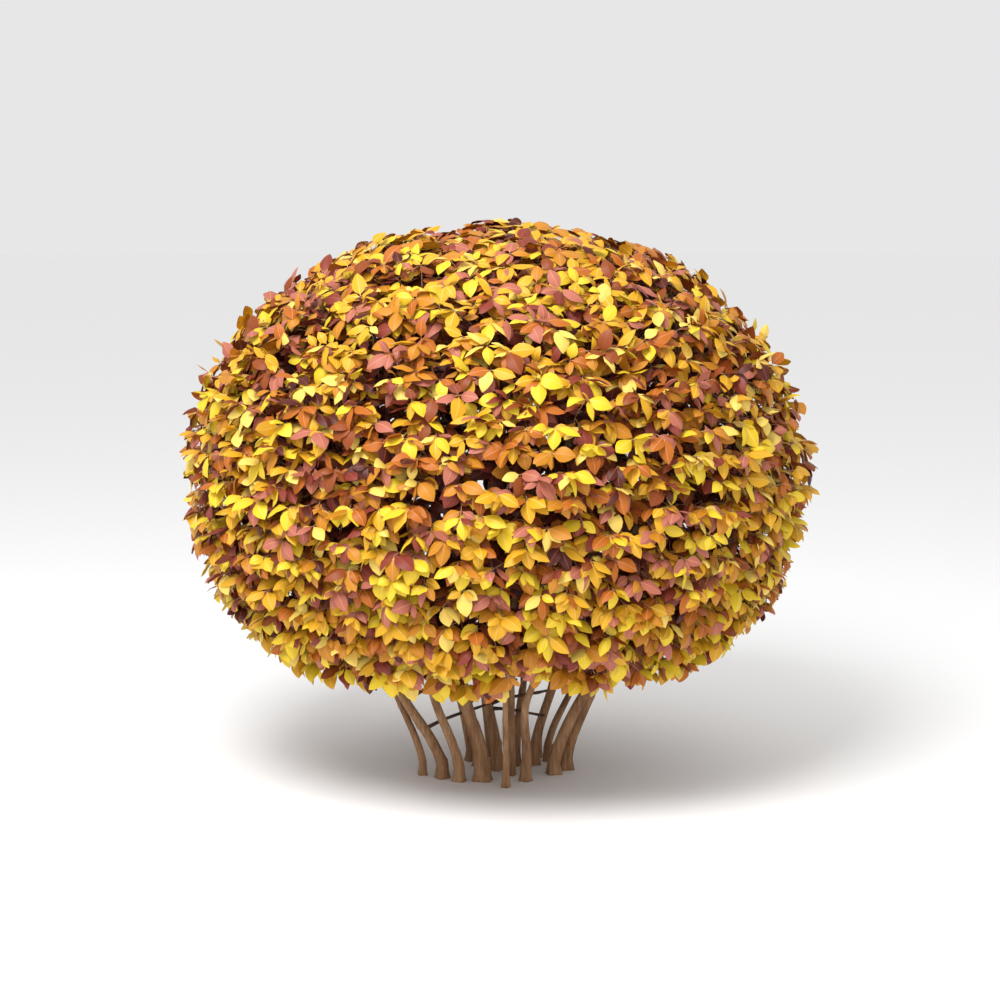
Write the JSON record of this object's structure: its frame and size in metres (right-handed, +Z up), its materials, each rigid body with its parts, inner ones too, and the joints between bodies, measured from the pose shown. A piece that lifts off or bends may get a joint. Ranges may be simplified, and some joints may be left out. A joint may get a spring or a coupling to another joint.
{
  "type": "clipped multi-stemmed autumn shrub",
  "caption": "Broadleaf shrub in autumn leaf, clipped to a flattened ball of dense foliage on a fan of slender leaning stems that rise from one clump.",
  "frame": {"origin": "middle of the main stem's flat cut at ground level", "axes": "+Z up along the plant, -Y towards the side that the picture shows, +X to that view's right"},
  "size_m": [1.4907, 1.4977, 1.3252],
  "materials": {
    "bark": "matt, finely ridged",
    "foliage": "satin leaves in autumn colours"
  },
  "bodies": {
    "root": {"bough_east": "bark", "bough_east_north": "bark", "bough_north": "bark", "bough_north_west": "bark", "bough_south_east": "bark", "bough_south_west": "bark", "bough_west": "bark", "lower_foliage_1": "foliage", "lower_foliage_2": "foliage", "lower_foliage_3": "foliage", "lower_foliage_4": "foliage", "lower_foliage_5": "foliage", "lower_foliage_6": "foliage", "lower_foliage_7": "foliage", "lower_foliage_8": "foliage", "lower_foliage_9": "foliage", "main_stem": "bark", "middle_foliage_1": "foliage", "middle_foliage_2": "foliage", "middle_foliage_3": "foliage", "middle_foliage_4": "foliage", "middle_foliage_5": "foliage", "middle_foliage_6": "foliage", "middle_foliage_7": "foliage", "middle_foliage_8": "foliage", "middle_foliage_9": "foliage", "shoot_back": "bark", "shoot_east_high": "bark", "shoot_east_low": "bark", "shoot_middle": "bark", "shoot_west_high": "bark", "shoot_west_low": "bark", "stem_east": "bark", "stem_east_north": "bark", "stem_front": "bark", "stem_inner_east": "bark", "stem_inner_north": "bark", "stem_inner_south": "bark", "stem_inner_west": "bark", "stem_low_east": "bark", "stem_low_west": "bark", "stem_north": "bark", "stem_north_east": "bark", "stem_north_west": "bark", "stem_south": "bark", "stem_south_east": "bark", "stem_south_west": "bark", "stem_west": "bark", "top_foliage": "foliage", "upper_foliage_1": "foliage", "upper_foliage_2": "foliage", "upper_foliage_3": "foliage", "upper_foliage_4": "foliage", "upper_foliage_5": "foliage"}
  },
  "joints": []
}
